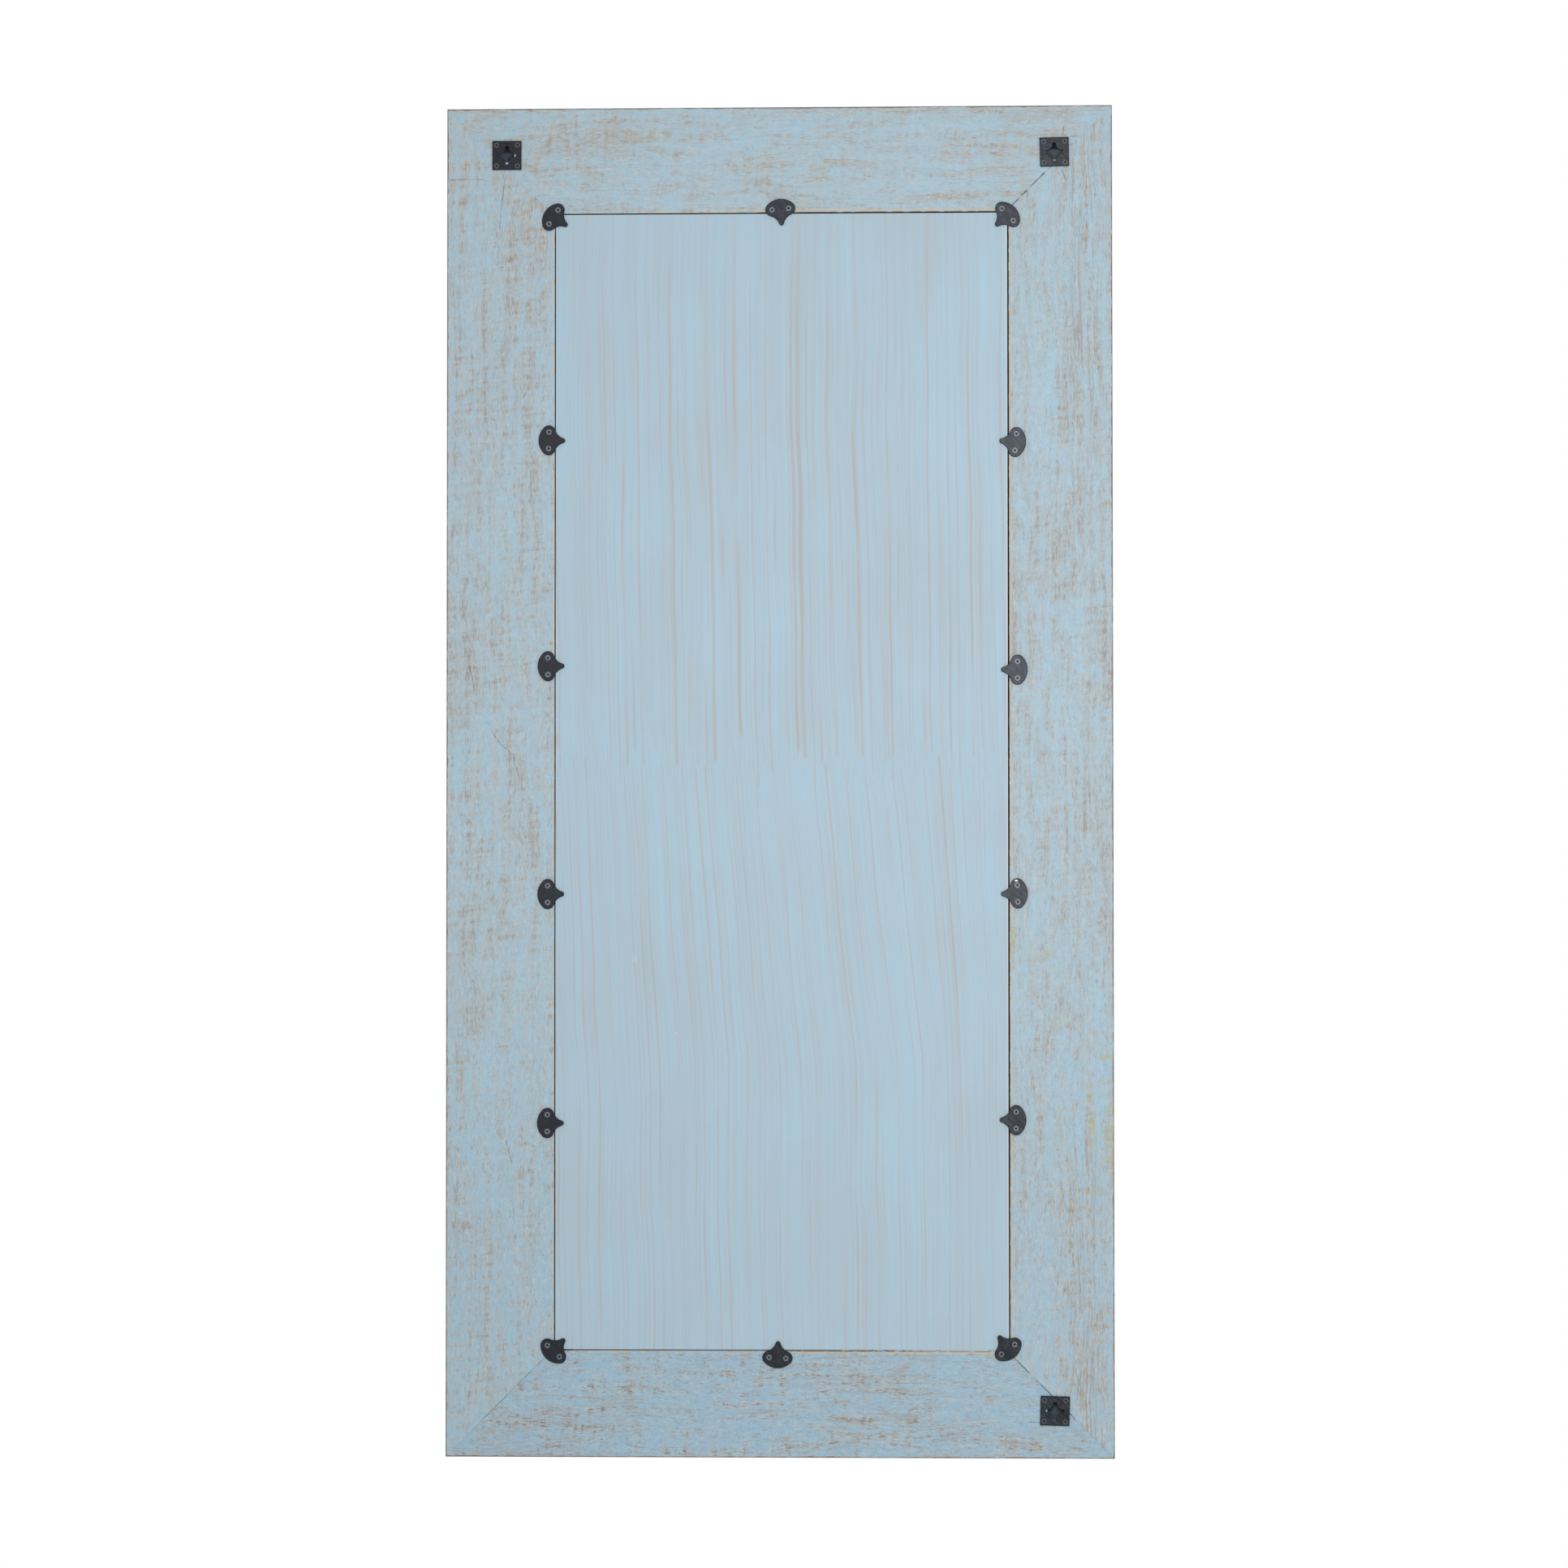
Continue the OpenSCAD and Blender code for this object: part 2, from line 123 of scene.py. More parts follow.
# Painted dark reflection on the rounded rims of clips and plates
METAL_DARK_REFLECTION = "#0B0C10"
METAL_SHEEN = "#EEF2FF"
METAL_RUBBED = "#3C4549"
SCREW_GREY = "#67717A"
SCREW_DARK = "#434346"
FLECK_WHITE = "#E4E8EA"

# Colours of the hidden pieces and of the studio
DOWEL_WOOD = "#B89A74"
FELT_WHITE = "#D9D9D4"
FELT_GREY = "#B9B9B2"
SILVER = "#E8EEEC"
SILVER_DULL = "#9A9C97"
GLASS_EDGE = "#5F8377"
FLOOR_PALE = "#FBFBFA"
FLOOR_GREYER = "#F7F7F6"
WHITE = "#FFFFFF"


def linear(hex_colour):
    """A written colour as the linear numbers that shaders take, by the usual screen curve."""
    shades = [int(hex_colour[i:i + 2], 16) / 255 for i in (1, 3, 5)]
    return [s / 12.92 if s <= 0.04045 else ((s + 0.055) / 1.055) ** 2.4 for s in shades] + [1.0]


def on_back(px, py):
    """The place on the back, in millimetres along x and z, of a pixel of the photograph."""
    return -(px - PHOTO_MID[0]) * MM_PER_PX, -(py - PHOTO_MID[1]) * MM_PER_PX


# Node trees

class Num:
    """A value in a node tree, so that shading reads as plain sums."""

    def __init__(self, tree, socket):
        self.tree = tree
        self.socket = socket

    def __add__(self, other):
        return self.tree.maths("ADD", self, other)

    def __radd__(self, other):
        return self.tree.maths("ADD", other, self)

    def __sub__(self, other):
        return self.tree.maths("SUBTRACT", self, other)

    def __rsub__(self, other):
        return self.tree.maths("SUBTRACT", other, self)

    def __mul__(self, other):
        return self.tree.maths("MULTIPLY", self, other)

    def __rmul__(self, other):
        return self.tree.maths("MULTIPLY", other, self)

    def __truediv__(self, other):
        return self.tree.maths("DIVIDE", self, other)

    def __abs__(self):
        return self.tree.maths("ABSOLUTE", self)


class Tree:
    """The node tree of a material or a world, with short calls for the nodes that it needs."""

    def __init__(self, name, kind="materials"):
        self.owner = getattr(bpy.data, kind).new(name)
        self.owner.use_nodes = True
        self.nodes = self.owner.node_tree.nodes
        self.links = self.owner.node_tree.links
        self.nodes.clear()

    def node(self, kind, inputs=None, **settings):
        made = self.nodes.new("ShaderNode" + kind)
        for key, value in settings.items():
            setattr(made, key, value)
        for key, value in (inputs or {}).items():
            self.feed(made.inputs[key], value)
        return made

    def feed(self, socket, value):
        if isinstance(value, Num):
            self.links.new(value.socket, socket)
        elif isinstance(value, str):
            socket.default_value = linear(value)
        else:
            socket.default_value = value

    def maths(self, operation, *values):
        made = self.node("Math", operation=operation)
        for socket, value in zip(made.inputs, values):
            self.feed(socket, value)
        return Num(self, made.outputs[0])

    def least(self, a, b):
        return self.maths("MINIMUM", a, b)

    def most(self, a, b):
        return self.maths("MAXIMUM", a, b)

    def rise(self, value, low, high):
        """A smooth step from 0 at low to 1 at high. It falls where low is above high."""
        falls = low > high
        ends = (high, low) if falls else (low, high)
        made = self.node("MapRange", {"Value": value, "From Min": ends[0], "From Max": ends[1]},
                         interpolation_type="SMOOTHSTEP")
        step = Num(self, made.outputs["Result"])
        return 1.0 - step if falls else step

    def join(self, x, y, z):
        made = self.node("CombineXYZ")
        for socket, value in zip(made.inputs, (x, y, z)):
            self.feed(socket, value)
        return Num(self, made.outputs[0])

    def place(self):
        """The point's x, y and z in the frame of the part, in millimetres."""
        here = self.node("TexCoord").outputs["Object"]
        made = self.node("SeparateXYZ")
        self.links.new(here, made.inputs[0])
        return [Num(self, out) / MM for out in made.outputs]

    def noise(self, x, y, z, detail=2.0, rough=0.5, twist=0.0):
        vector = self.join(x, y, z)
        made = self.node("TexNoise", {"Vector": vector, "Scale": 1.0, "Detail": detail,
                                      "Roughness": rough, "Distortion": twist})
        return Num(self, made.outputs["Fac"])

    def flat_noise(self, u, v, size, seed, *kind):
        """Noise in flat marks of a size in millimetres along u and v."""
        return self.noise(u / size[0], v / size[1], seed, *kind)

    def round_noise(self, x, y, z, size, *kind):
        """Noise in round grains of a size in millimetres."""
        return self.noise(x / size, y / size, z / size, *kind)

    def blend(self, low, high, share):
        """Between two colours by a share."""
        made = self.node("Mix", data_type="RGBA")
        self.feed(made.inputs[0], share)
        self.feed(made.inputs[6], low)
        self.feed(made.inputs[7], high)
        return Num(self, made.outputs[2])

    def shade(self, low, high, share):
        """Between two plain numbers by a share."""
        made = self.node("Mix", data_type="FLOAT")
        self.feed(made.inputs[0], share)
        self.feed(made.inputs[2], low)
        self.feed(made.inputs[3], high)
        return Num(self, made.outputs[0])

    def hollows(self, reach, inside=False):
        """How shut in a point is within reach millimetres: hollows, or with inside, proud edges."""
        made = self.node("AmbientOcclusion", {"Distance": reach * MM}, inside=inside, samples=6)
        return 1.0 - Num(self, made.outputs["AO"])

    def bump(self, height, depth, edge=0.0):
        """A normal from a height between 0 and 1, depth millimetres deep, on edges rounded by edge."""
        made = self.node("Bump", {"Height": height, "Distance": depth * MM, "Strength": 1.0})
        if edge:
            rounded = self.node("Bevel", {"Radius": edge * MM}, samples=4)
            self.links.new(rounded.outputs[0], made.inputs["Normal"])
        return Num(self, made.outputs[0])

    def looked_at(self):
        """1 for the camera's rays and those by way of gloss or glass, 0 for rays that gather light."""
        rays = self.node("LightPath")
        kinds = ("Is Camera Ray", "Is Glossy Ray", "Is Transmission Ray")
        camera, mirrored, passed = [Num(self, rays.outputs[kind]) for kind in kinds]
        return self.most(self.most(camera, mirrored), passed)

    def output(self, shader, kind="OutputMaterial"):
        """Ends the tree in a shader and gives back the material or world."""
        out = self.node(kind)
        self.links.new(shader.outputs[0], out.inputs["Surface"])
        return self.owner

    def finish(self, inputs):
        """Ends the material in a plain physical shader with these inputs."""
        return self.output(self.node("BsdfPrincipled", inputs))


# Marks on the back, in pixels of the photograph

# Cracks in the boards, each a run of points
CRACKS = [
    [(551, 219.4), (596, 219.2)],
    [(622, 216), (616, 262), (614, 300), (612.5, 330), (620, 328), (627, 320)],
    [(599.7, 891.5), (613, 914.7), (632, 932), (641, 964)],
    [(1268, 1751), (1283, 1751.5)],
    [(624, 1408), (631, 1434)],
    [(578, 822), (584, 850)],
    [(1308.5, 211), (1312, 215.5), (1313, 220), (1310.5, 222)],
    [(1306, 215.5), (1308.5, 216)],
    [(1267.6, 239), (1267.4, 250)],
    [(1312.5, 158), (1311, 168)],
]
# Yellow stains on the boards: place, reach across and up, and how strong
YELLOW_STAINS = [
    [(1361, 1305), (13, 5), 1.0], [(1360, 1334), (11, 4), 0.7], [(1293, 1178), (9, 8), 0.8],
    [(1275, 1183), (5, 9), 0.6], [(1252, 905), (3, 9), 0.7], [(1248, 1163), (3, 22), 0.9],
    [(1305, 172), (22, 3), 0.5], [(1262, 183), (17, 3), 0.9], [(1243, 243), (6, 2), 0.8],
    [(1349, 965), (9, 5), 0.4], [(594, 170), (4, 3), 0.8], [(1344, 1386), (5, 44), 1.0],
    [(1366, 1402), (7, 66), 1.0], [(1352, 1470), (15, 6), 0.8], [(1264, 1186), (30, 4), 0.5],
]
# A round stain that the panel's edge cuts in half
PANEL_STAINS = [[(682, 914), (10, 11), 1.0]]
# Drips of thicker paint on the panel
PALE_SPOTS = [[(783, 1184), (3, 5), 0.7], [(834, 1275), (2, 2), 1.0]]
# A small white fleck on one clip
FLECKS = [[(1252.5, 1087.9), (2.2, 1.4), 1.0]]

# Half width of a crack in millimetres
CRACK_W = 0.35
# How lines and stains waver, in millimetres: length of a wave and how far it goes
WAVER_LENGTH = 9.0
WAVER = 1.6
# Where a stain begins and where it is full, as shares of its reach
STAIN_FADE = (1.35, 0.35)


class Marks:
    """Distances on the back to drawn lines and stains."""

    def __init__(self, tree, x, z):
        self.tree = tree
        level = tree.noise(x / WAVER_LENGTH, z / WAVER_LENGTH, 0.0)
        upright = tree.noise(z / WAVER_LENGTH, x / WAVER_LENGTH, 4.0)
        self.point = tree.join(x + (level - 0.5) * WAVER, z + (upright - 0.5) * WAVER, 0.0)

    def vector(self, operation, *values):
        made = self.tree.node("VectorMath", operation=operation)
        sockets = [s for s in made.inputs if s.enabled]
        for socket, value in zip(sockets, values):
            self.tree.feed(socket, value)
        return Num(self.tree, next(s for s in made.outputs if s.enabled))

    def to_line(self, start, end):
        """Distance from the point to a straight stretch."""
        a, b = Vector(on_back(*start)), Vector(on_back(*end))
        run = b - a
        from_a = self.vector("SUBTRACT", self.point, (a.x, a.y, 0.0))
        along = self.vector("DOT_PRODUCT", from_a, (*(run / run.length_squared), 0.0))
        share = self.tree.most(self.tree.least(along, 1.0), 0.0)
        foot = self.vector("SCALE", (*run, 0.0), share)
        return self.vector("DISTANCE", from_a, foot)

    def to_runs(self, runs):
        """Distance from the point to the nearest of several runs of points."""
        nearest = None
        for run in runs:
            for start, end in zip(run, run[1:]):
                here = self.to_line(start, end)
                nearest = here if nearest is None else self.tree.least(nearest, here)
        return nearest

    def stains(self, stains):
        """How deep the point lies in any of several soft round stains, from 0 to 1."""
        total = None
        for middle, reach, strength in stains:
            offset = self.vector("SUBTRACT", self.point, (*on_back(*middle), 0.0))
            scale = (1 / (reach[0] * MM_PER_PX), 1 / (reach[1] * MM_PER_PX), 0.0)
            far = self.vector("LENGTH", self.vector("MULTIPLY", offset, scale))
            here = self.tree.rise(far, *STAIN_FADE) * strength
            total = here if total is None else self.tree.most(total, here)
        return total


def under_back(tree, y, start, full):
    """A step from 0 to 1 between two depths under the face of the back."""
    return tree.rise(y, BACK_Y - start, BACK_Y - full)


# Painted boards. Left and right are the photograph's here, so right is at -x

# How far the stiles and the rails show each kind of wear, and how much darker and bluer their paint
# grows towards the bottom
STILES = SimpleNamespace(upright=True, low_blue=0.3, low_grey=0.15, low_pale=0.2, low_lean=-0.03,
                         low_streaks=0.2, ripple=0.55, warm=0.42, side_runs=0.42)
RAILS = SimpleNamespace(upright=False, low_blue=0.65, low_grey=0.3, low_pale=0.6, low_lean=-0.09,
                        low_streaks=0.95, ripple=0.35, warm=0.3, side_runs=0.0)

# Sizes are a length along the grain and a girth across it, in millimetres

# Noises that bend with the grain: size, seed, detail, roughness and twist
GRAINS = {
    "fibre": ((9.0, 1.1), 0.0, 2.0, 0.6, 0.0),
    "strand": ((60.0, 4.2), 0.0, 3.0, 0.6, 0.0),
    "streak": ((95.0, 2.8), 9.0, 2.0, 0.5, 0.0),
    "column": ((260.0, 7.0), 15.0, 2.0, 0.5, 0.2),
    "blob": ((22.0, 12.0), 3.0, 2.0, 0.5, 0.3),
    "patch": ((38.0, 17.0), 0.0, 3.0, 0.6, 0.0),
    "coat": ((42.0, 17.0), 5.0, 3.0, 0.55, 0.6),
    "smudge": ((16.0, 6.0), 11.0, 3.0, 0.6, 0.5),
    "mottle": ((10.0, 4.6), 21.0, 3.0, 0.72, 0.3),
    "grit": ((2.8, 1.9), 31.0, 2.0, 0.6, 0.0),
}
# How far the grain bends, and the size of its bends
BEND = 26.0
BEND_SIZE = (150.0, 60.0)
# Parts that are worn more or less, and parts in which the figure shows
BROAD_SIZE = (240.0, 75.0)
FIGURED_SIZE = (120.0, 24.0)
# The wood's figure and the rows of wear, which both run slantwise across the grain
FIGURE_SIZE = (4.2, 16.0)
FIGURE_SLANT = 0.12
ROW_SIZE = (6.5, 66.0)
ROW_SLANT = 0.1
# Ripples that a plane left across the grain, how they sway, and the ladders in which they show
RIPPLE_PITCH = 9.6
RIPPLE_SWAY = 2.4
RIPPLE_SWAY_SIZE = (44.0, 30.0)
RIPPLE_SLANT = 0.007
LADDER_SIZE = (80.0, 17.0)
# Wear along the outer edge: its short and long scallops and how far they reach
EDGE_SHORT = (16.0, 16.0)
EDGE_SHORT_REACH = 9.0
EDGE_LONG = (90.0, 90.0)
EDGE_LONG_REACH = 7.0
# Wear along the gap: its scallops, the stretches in which they show, and how far wear and rim reach
GAP_SCALLOP = (12.0, 9.0)
GAP_STRETCH = (60.0, 60.0)
GAP_WEAR_REACH = 20.0
GAP_RIM_REACH = 8.0
# Depths under the back at which the front's wear begins and is full
FRONT_DEPTHS = (6.0, 10.0)
# How far the front looks round itself for proud edges and for hollows
PROUD_REACH = 3.0
HOLLOW_REACH = 9.0
# Depths under the back: from none of its marks to all of them, and from its paint to the bare inside
SKIN_OF_BACK = (0.6, 0.2)
INSIDE_DEPTHS = (0.25, 0.7)

# Places on the back, each from where an effect begins to where it is full
RIGHT_X = (100.0, -100.0)
CROSSED_X = (-60.0, 60.0)
LOW_Z = (-150.0, -700.0)
WARM_LOW_X = (160.0, -160.0)
WARM_TOP_Z = (560.0, 860.0)
RUNS_INNER_X = (-388.0, -404.0)
RUNS_OUTER_X = (-438.0, -424.0)
RUNS_ENDS_Z = (300.0, 620.0)
BROWN_GAP_Z = (-500.0, -640.0)
PAST_MIDDLE = (-1.0, 1.0)
# The waves of a mitre line, how far they go, and the breaks in it
MITRE_WAVES = (14.0, 14.0)
MITRE_WAVER = 0.9
MITRE_BREAKS = (16.0, 16.0)
# Distances from the mirror's side between which a mitre comes to show or is lost
TOP_RIGHT_MITRE = (58.0, 74.0)
LOW_LEFT_MITRE = (25.0, 55.0)
LOW_RIGHT_MITRE = (60.0, 50.0)
# Distances from the gap at which bare wood counts as a pocket's or a hole's
POCKET_FROM_GAP = (20.0, 30.0)
# Heights over a keyhole plate's middle at which its pocket darkens into painted shade
POCKET_SHADE_Z = (3.0, 8.5)


class Board:
    """Place, grain and wear of one kind of board, which its coats of colour follow."""

    def __init__(self, tree, shares):
        self.tree = tree
        self.shares = shares
        self.x, self.y, self.z = tree.place()
        self.along, self.across = (self.z, self.x) if shares.upright else (self.x, self.z)
        axis = 0 if shares.upright else 2
        panel_middle = (PANEL_LOW[axis] + PANEL_HIGH[axis]) / 2
        panel_half = (PANEL_HIGH[axis] - PANEL_LOW[axis]) / 2
        self.from_gap = abs(self.across - panel_middle) - (panel_half + GAP)
        self.from_rim = tree.least(HALF_W - abs(self.x), HALF_H - abs(self.z))
        self.right = tree.rise(self.x, *RIGHT_X)
        self.low = tree.rise(self.z, *LOW_Z)
        self.on_back = under_back(tree, self.y, *SKIN_OF_BACK)
        self.grain = self.make_grain()
        self.make_wear()

    def noise(self, along, across, size, seed=0.0, *kind):
        """Noise in pieces of a size, through the whole thickness of the board."""
        length, girth = size
        return self.tree.noise(along / length, across / girth, self.y / girth + seed, *kind)

    def make_grain(self):
        """Noises along the grain, and the figure and rows of wear that cross it."""
        tree, along, across = self.tree, self.along, self.across
        bent = across + (self.noise(along, across, BEND_SIZE) - 0.5) * BEND
        grain = SimpleNamespace()
        for name, (size, seed, *kind) in GRAINS.items():
            setattr(grain, name, self.noise(along, bent, size, seed, *kind))
        grain.broad = self.noise(along, across, BROAD_SIZE)
        grain.figure = self.noise(along + across * FIGURE_SLANT, bent, FIGURE_SIZE, 0.0, 1.0, 0.5, 0.4)
        grain.row = self.noise(along + across * ROW_SLANT, across, ROW_SIZE, 17.0, 2.0, 0.5, 0.2)
        grain.figured = tree.rise(tree.flat_noise(along, across, FIGURED_SIZE, 3.0), 0.46, 0.62)
        return grain

    def make_wear(self):
        """How thin the paint is, and how far it is worn, from greyed to gone."""
        tree, grain = self.tree, self.grain
        thick = tree.rise(grain.coat, 0.47, 0.59)
        crossed = tree.rise(self.x, *CROSSED_X) * 0.6 + 1.2
        worn = (grain.patch - 0.5) * 0.4 + (grain.strand - 0.5) * 0.6 + (grain.broad - 0.5) * 1.3
        worn = worn + (grain.fibre - 0.5) * 0.5 + (grain.column - 0.5) * 1.9
        worn = worn + (grain.row - 0.5) * crossed
        self.thin = 1.0 - thick * 0.58
        self.lean = self.low * self.shares.low_lean - 0.03
        self.worn = worn + (grain.figure - 0.5) * (0.2 + grain.figured) - thick * 0.2 + self.lean
        self.greyed = tree.rise(grain.strand + self.worn * 0.4, 0.22, 0.54) * self.thin
        self.tan = tree.rise(self.worn, 0.04, 0.44)


def bare_share(board):
    """How far the wood shows: in worn patches, in rubbed ones and on a plane's ripples."""
    tree, grain, along, across = board.tree, board.grain, board.along, board.across
    rubbed = grain.blob + (grain.broad - 0.5) * 0.9 + (grain.fibre - 0.5) * 0.3 + board.lean
    sway = tree.flat_noise(along, across, RIPPLE_SWAY_SIZE, 5.0) * RIPPLE_SWAY + across * RIPPLE_SLANT
    rung = tree.maths("SINE", (along / RIPPLE_PITCH + sway) * math.tau) * 0.5 + 0.5
    broken = (grain.fibre - 0.5) * 0.9 + (grain.patch - 0.5) * 0.8 + (grain.figure - 0.5) * 0.6
    ladder = tree.rise(tree.flat_noise(along, across, LADDER_SIZE, 8.0, 3.0) + board.lean, 0.41, 0.56)
    ripple = tree.rise(rung * 0.5 + broken, 0.22, 0.52) * ladder * board.shares.ripple
    worn = tree.most(board.tan * 0.6, tree.rise(rubbed, 0.48, 0.72) * 0.26)
    return tree.most(worn * board.thin, ripple)


def dull_share(board):
    """How far dull streaks, clouds and smudges show."""
    tree, grain = board.tree, board.grain
    streak = grain.streak + (grain.fibre - 0.5) * 0.3 + (grain.broad - 0.5) * 0.5
    cloud = grain.blob * 0.6 + grain.patch * 0.4 + (grain.fibre - 0.5) * 0.4 + (grain.broad - 0.5) * 0.4
    smudge = grain.smudge + board.worn * 0.3
    dull = tree.most(tree.rise(streak, 0.54, 0.70) * 0.26, tree.rise(cloud, 0.57, 0.70) * 0.24)
    return tree.most(dull, tree.rise(smudge, 0.50, 0.70) * 0.24) * board.thin


def worn_coat(board):
    """The blue paint, darker and bluer low down, greyed, worn to the wood and mottled, with dirt in its
    pores.
    """
    tree, grain, shares = board.tree, board.grain, board.shares
    low, thin, worn = board.low, board.thin, board.worn
    pale = tree.rise(grain.fibre, 0.48, 0.28) * thin
    dirt = tree.rise(grain.fibre + worn * 0.40, 0.56, 0.80)
    pores = tree.rise(grain.fibre + grain.strand * 0.35 + worn * 0.25, 0.80, 0.90)
    mottle = grain.mottle + (grain.grit - 0.5) * 0.7
    warm_place = tree.most(low * tree.rise(board.x, *WARM_LOW_X), tree.rise(board.z, *WARM_TOP_Z))
    force = 1.0 + low * shares.low_streaks

    # Darker and bluer towards the bottom
    colour = tree.blend(PAINT, LOW_BLUE, low * shares.low_blue)
    colour = tree.blend(colour, PAINT_GREYED, board.greyed * 0.9 * (1.0 - low * shares.low_grey))
    colour = tree.blend(colour, PAINT_PALE, pale * 0.6 * (1.0 - low * shares.low_pale))
    colour = tree.blend(colour, BARE_TAN, bare_share(board))
    colour = tree.blend(colour, RIM_TAN, board.tan * thin * warm_place * shares.warm)
    colour = tree.blend(colour, STREAK_TAN, dull_share(board) * force)
    colour = tree.blend(colour, PAINT_PALE, tree.rise(mottle, 0.46, 0.26) * 0.5)
    colour = tree.blend(colour, STREAK_TAN, tree.rise(mottle, 0.54, 0.76) * 0.5 * force)
    return tree.blend(colour, PORE_DARK, tree.most(dirt * 0.34, pores * 0.42) * thin * force)


def side_runs(board, colour):
    """Brown runs along the grain in the outer band of the right stile, towards its ends."""
    tree, grain = board.tree, board.grain
    band = tree.rise(board.x, *RUNS_INNER_X) * tree.rise(board.x, *RUNS_OUTER_X)
    ends = tree.rise(abs(board.z), *RUNS_ENDS_Z)
    run = grain.streak + (grain.fibre - 0.5) * 0.5 + (grain.strand - 0.5) * 0.4
    share = tree.rise(run, 0.50, 0.68) * band * ends
    return tree.blend(colour, RUN_BROWN, share * board.shares.side_runs)


def edge_wear(board, colour):
    """Wear along the outer edge of the back and down its sides."""
    tree, along, across = board.tree, board.along, board.across
    from_arris = board.from_rim + tree.most(BACK_Y - board.y, 0.0)
    short = board.noise(along, across, EDGE_SHORT, 0.0, 3.0, 0.6)
    long = tree.flat_noise(along, across, EDGE_LONG, 5.0)
    reach = (short - 0.42) * EDGE_SHORT_REACH + (long - 0.5) * EDGE_LONG_REACH
    colour = tree.blend(colour, BARE_TAN, tree.rise(reach + 1.6 - from_arris, -0.8, 1.6) * 0.62)
    return tree.blend(colour, EDGE_BROWN, tree.rise(reach * 0.4 + 1.15 - from_arris, -0.5, 0.4) * 0.75)


def gap_wear(board, colour):
    """Wear along the gap round the panel, most of it at the right."""
    tree, right, from_gap = board.tree, board.right, board.from_gap
    scallop = tree.flat_noise(board.along, board.across, GAP_SCALLOP, 1.0, 1.0)
    long = tree.flat_noise(board.along, board.across, GAP_STRETCH, 3.0)
    rim_reach = right * 1.5 + (scallop - 0.5) * GAP_RIM_REACH
    rim_share = tree.rise(long + (scallop - 0.5) * 0.7 + right * 0.15, 0.42, 0.62)
    rim = tree.rise(from_gap - rim_reach, 3.8, 0.4) * rim_share * board.on_back
    reach = (scallop - 0.36) * GAP_WEAR_REACH * (0.1 + right * 0.8) * (0.3 + long)
    worn = tree.rise(reach - from_gap, -0.3, 0.9) * board.on_back
    colour = tree.blend(colour, RIM_TAN, rim * 0.75)
    colour = tree.blend(colour, BARE_TAN, worn * 0.6)
    return tree.blend(colour, WORN_BROWN, worn * tree.rise(from_gap, 1.6, 0.4) * 0.8)


def front_wear(board, colour):
    """Wear on the proud edges of the carved front, and darker brown in its hollows."""
    tree, grain = board.tree, board.grain
    front = under_back(tree, board.y, *FRONT_DEPTHS)
    proud = tree.hollows(PROUD_REACH, inside=True) * front
    ridge = tree.rise(proud + (grain.strand - 0.5) * 0.5 + (grain.fibre - 0.5) * 0.4, 0.20, 0.42)
    hollow_brown = tree.rise(tree.hollows(HOLLOW_REACH) + (grain.broad - 0.5) * 0.3, 0.16, 0.62)
    colour = tree.blend(colour, BARE_TAN, ridge * front * 0.75)
    return tree.blend(colour, WORN_BROWN, hollow_brown * front * 0.5)


def mitre_lines(tree, x, z):
    """Where a mitre shows on the back: strong in two corners, half painted over in one, lost in one."""
    from_side = HALF_W - abs(x)
    from_end = HALF_H - abs(z)
    waver = (tree.flat_noise(x, z, MITRE_WAVES, 2.0) - 0.5) * MITRE_WAVER
    near = abs(from_side - from_end + waver)
    left = tree.rise(x, *PAST_MIDDLE)
    top = tree.rise(z, *PAST_MIDDLE)
    low_left = 0.15 + 0.45 * tree.rise(from_side, *LOW_LEFT_MITRE)
    low_right = 1.0 - 0.75 * tree.rise(from_side, *LOW_RIGHT_MITRE)
    low = tree.shade(low_right, low_left, left)
    high = tree.shade(tree.rise(from_side, *TOP_RIGHT_MITRE), 0.0, left)
    open_share = tree.rise(tree.flat_noise(x, z, MITRE_BREAKS, 7.0), 0.32, 0.6)
    girth = 1.0 - (1.0 - left) * (0.15 + top * 0.35)
    return tree.rise(near * girth, 1.05, 0.25) * tree.shade(low, high, top) * open_share


def back_marks(board, colour):
    """Stains, cracks and open mitres on the back, and how far the last two cut into it."""
    tree, grain = board.tree, board.grain
    marks = Marks(tree, board.x, board.z)
    yellow = marks.stains(YELLOW_STAINS) * tree.rise(grain.strand * 0.5 + grain.figure * 0.5, 0.36, 0.6)
    crack = tree.rise(marks.to_runs(CRACKS), CRACK_W + 0.4, CRACK_W - 0.3) * board.on_back
    crack = crack * tree.rise(grain.fibre + grain.strand, 0.8, 1.2)
    mitre = mitre_lines(tree, board.x, board.z) * board.on_back
    colour = tree.blend(colour, YELLOWED, yellow * board.on_back * 0.6)
    colour = tree.blend(colour, CRACK_DARK, crack * 0.75)
    colour = tree.blend(colour, MITRE_DARK, mitre * 0.85)
    return colour, crack + mitre


